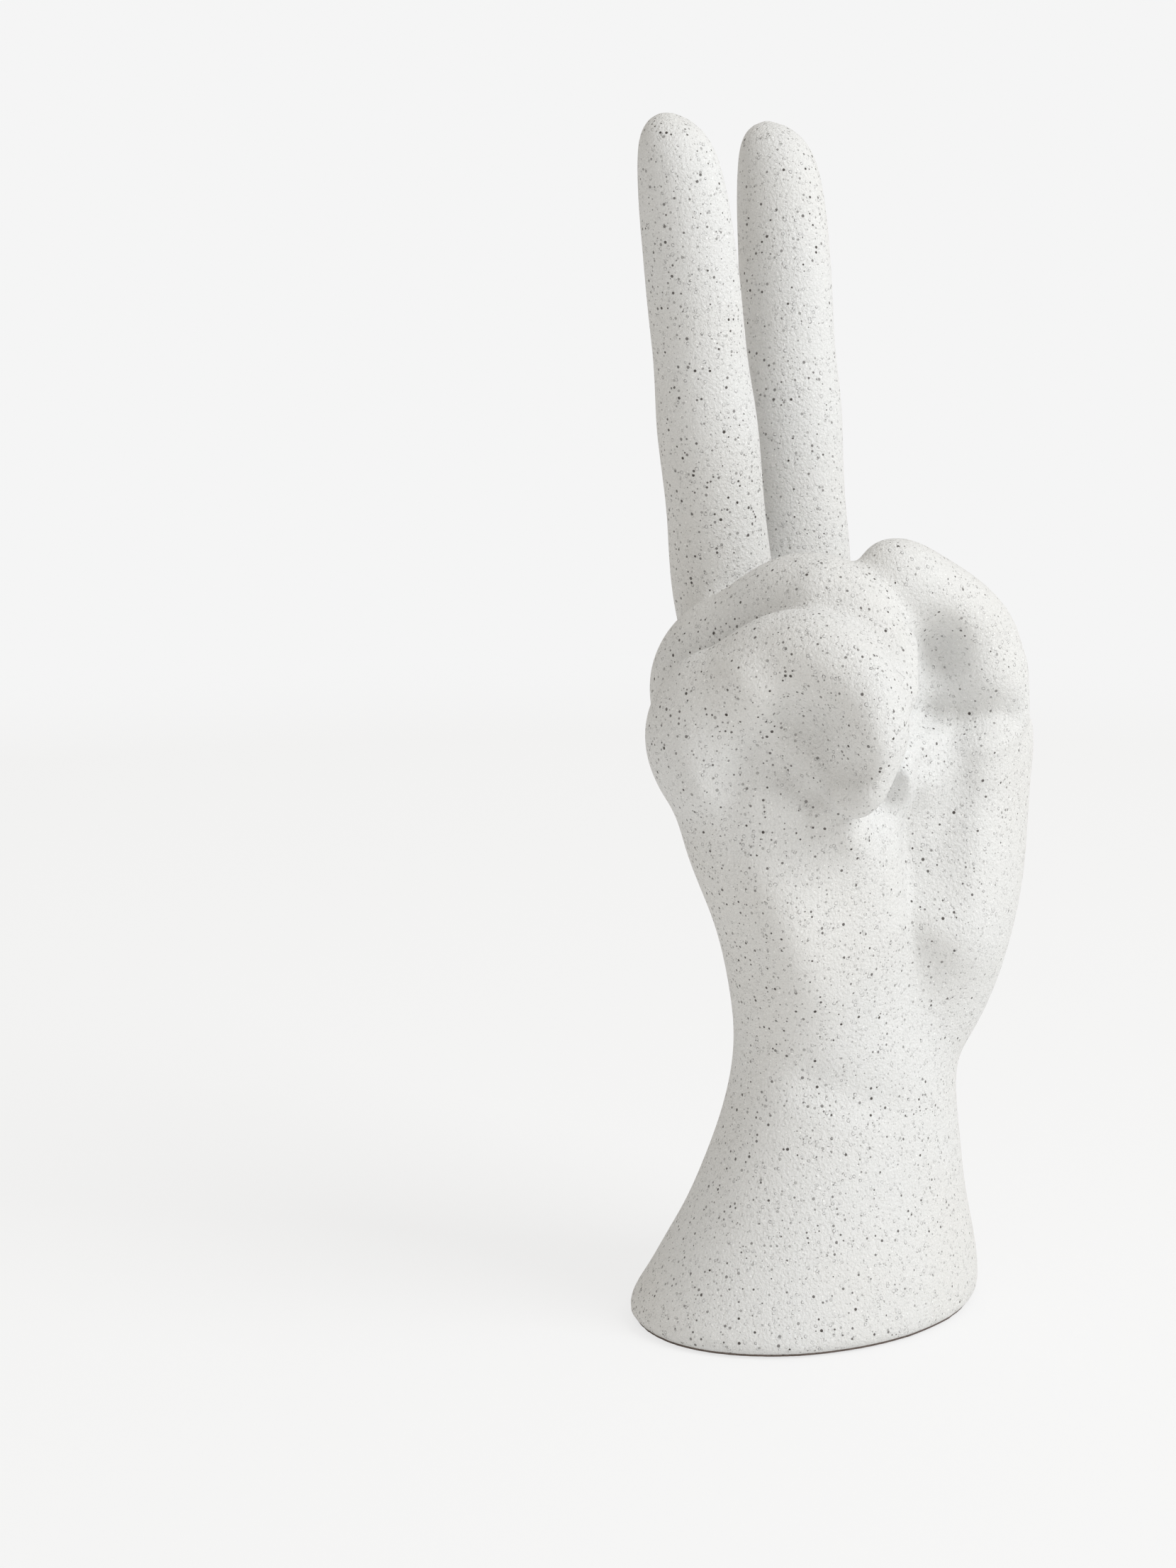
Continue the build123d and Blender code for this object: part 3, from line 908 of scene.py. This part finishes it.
def place_camera(studio):
    """The camera at the photograph's viewing angle."""
    forward = photo_axes(studio)[2]
    data = bpy.data.cameras.new("photo_camera")
    data.sensor_width = SENSOR_SIDE
    data.lens = studio.focal_pixels / PHOTO_HEIGHT * SENSOR_SIDE
    data.clip_end = studio.floor_radius * CLIP_RADII
    camera = bpy.data.objects.new("photo_camera", data)
    camera.location = photo_eye(studio)
    camera.rotation_euler = forward.to_track_quat("-Z", "Y").to_euler()
    bpy.context.scene.collection.objects.link(camera)
    bpy.context.scene.camera = camera


def place_key(studio):
    """The softbox at the camera's upper right."""
    data = bpy.data.lights.new("softbox", "AREA")
    data.shape = "SQUARE"
    data.size = studio.key_size
    data.energy = studio.key_power
    data.color = studio.key_colour
    lamp = bpy.data.objects.new("softbox", data)
    heading = studio.camera_angle - studio.key_turn
    level = Vector((-math.sin(heading), -math.cos(heading), 0))
    towards = level * math.cos(studio.key_rise) + Vector((0, 0, math.sin(studio.key_rise)))
    lamp.location = hand_middle() + towards * studio.key_distance
    lamp.rotation_euler = (-towards).to_track_quat("-Z", "Y").to_euler()
    bpy.context.scene.collection.objects.link(lamp)


def floor_material(studio):
    """A pale floor that keeps the hand's soft shadow and meets the backdrop without an edge."""
    material = bpy.data.materials.new("pale_floor")
    material.use_nodes = True
    tree = material.node_tree
    tree.nodes.clear()
    output = tree.nodes.new("ShaderNodeOutputMaterial")
    seen = tree.nodes.new("ShaderNodeEmission")
    seen.inputs["Color"].default_value = (*studio.backdrop, 1.0)
    lit = tree.nodes.new("ShaderNodeBsdfDiffuse")
    lit.inputs["Color"].default_value = (*FLOOR_COLOUR, 1.0)
    light_path = tree.nodes.new("ShaderNodeLightPath")
    position = tree.nodes.new("ShaderNodeTexCoord").outputs["Object"]
    length = tree.nodes.new("ShaderNodeVectorMath")
    length.operation = "LENGTH"
    tree.links.new(position, length.inputs[0])
    far = add_map_range(tree, length.outputs["Value"], *FLOOR_FADE)
    plain = add_math(tree, "MAXIMUM", far, FLOOR_PLAIN_SHARE)
    shown = add_math(tree, "MULTIPLY", light_path.outputs["Is Camera Ray"], plain)
    mix = tree.nodes.new("ShaderNodeMixShader")
    tree.links.new(shown, mix.inputs["Fac"])
    tree.links.new(lit.outputs["BSDF"], mix.inputs[1])
    tree.links.new(seen.outputs["Emission"], mix.inputs[2])
    tree.links.new(mix.outputs["Shader"], output.inputs["Surface"])
    return material


def build_world(studio):
    """Even light from all round, with the backdrop's colour where the camera looks."""
    world = bpy.data.worlds.new("studio_room")
    bpy.context.scene.world = world
    world.use_nodes = True
    tree = world.node_tree
    tree.nodes.clear()
    output = tree.nodes.new("ShaderNodeOutputWorld")
    room = tree.nodes.new("ShaderNodeBackground")
    room.inputs["Color"].default_value = (*studio.room_colour, 1.0)
    room.inputs["Strength"].default_value = studio.room_light
    backdrop = tree.nodes.new("ShaderNodeBackground")
    backdrop.inputs["Color"].default_value = (*studio.backdrop, 1.0)
    light_path = tree.nodes.new("ShaderNodeLightPath")
    mix = tree.nodes.new("ShaderNodeMixShader")
    tree.links.new(light_path.outputs["Is Camera Ray"], mix.inputs["Fac"])
    tree.links.new(room.outputs["Background"], mix.inputs[1])
    tree.links.new(backdrop.outputs["Background"], mix.inputs[2])
    tree.links.new(mix.outputs["Shader"], output.inputs["Surface"])


class BuildStudio(Operator):
    """Build the pale floor, the backdrop, the softbox and the camera"""

    bl_idname = "ceramic_hand.build_studio"
    bl_label = "Build Studio"

    def execute(self, context):
        studio = context.scene.ceramic_hand_studio
        disc = bmesh.new()
        bmesh.ops.create_circle(
            disc, cap_ends=True, segments=FLOOR_SEGMENTS, radius=studio.floor_radius)
        mesh = bpy.data.meshes.new("floor")
        disc.to_mesh(mesh)
        disc.free()
        floor = bpy.data.objects.new("floor", mesh)
        context.scene.collection.objects.link(floor)
        floor.data.materials.append(floor_material(studio))
        build_world(studio)
        place_key(studio)
        place_camera(studio)
        context.scene.view_settings.view_transform = "Standard"
        return {"FINISHED"}


class HandPanel(Panel):
    """Shows the ceramic hand's operators and settings"""

    bl_idname = "CERAMICHAND_PT_pieces"
    bl_label = "Ceramic Hand"
    bl_space_type = "VIEW_3D"
    bl_region_type = "UI"
    bl_category = "Ceramic Hand"

    def draw(self, context):
        for operator in OPERATORS:
            self.layout.operator(operator.bl_idname)
        for name in SETTINGS:
            box = self.layout.box()
            settings = getattr(context.scene, name)
            for key in settings.__annotations__:
                box.prop(settings, key)


OPERATORS = (MakeHand, FinishFoot, BuildStudio)
SETTINGS = {
    "ceramic_hand_clay": ClaySettings,
    "ceramic_hand_foot": FootSettings,
    "ceramic_hand_studio": StudioSettings,
}
CLASSES = (*SETTINGS.values(), *OPERATORS, HandPanel)


def register():
    for item in CLASSES:
        bpy.utils.register_class(item)
    for name, group in SETTINGS.items():
        setattr(bpy.types.Scene, name, PointerProperty(type=group))


def unregister():
    for name in SETTINGS:
        delattr(bpy.types.Scene, name)
    for item in reversed(CLASSES):
        bpy.utils.unregister_class(item)


def main():
    """Registers the add-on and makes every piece."""
    register()
    bpy.ops.ceramic_hand.make_hand()
    bpy.ops.ceramic_hand.finish_foot()
    bpy.ops.ceramic_hand.build_studio()


if __name__ == "__main__":
    main()
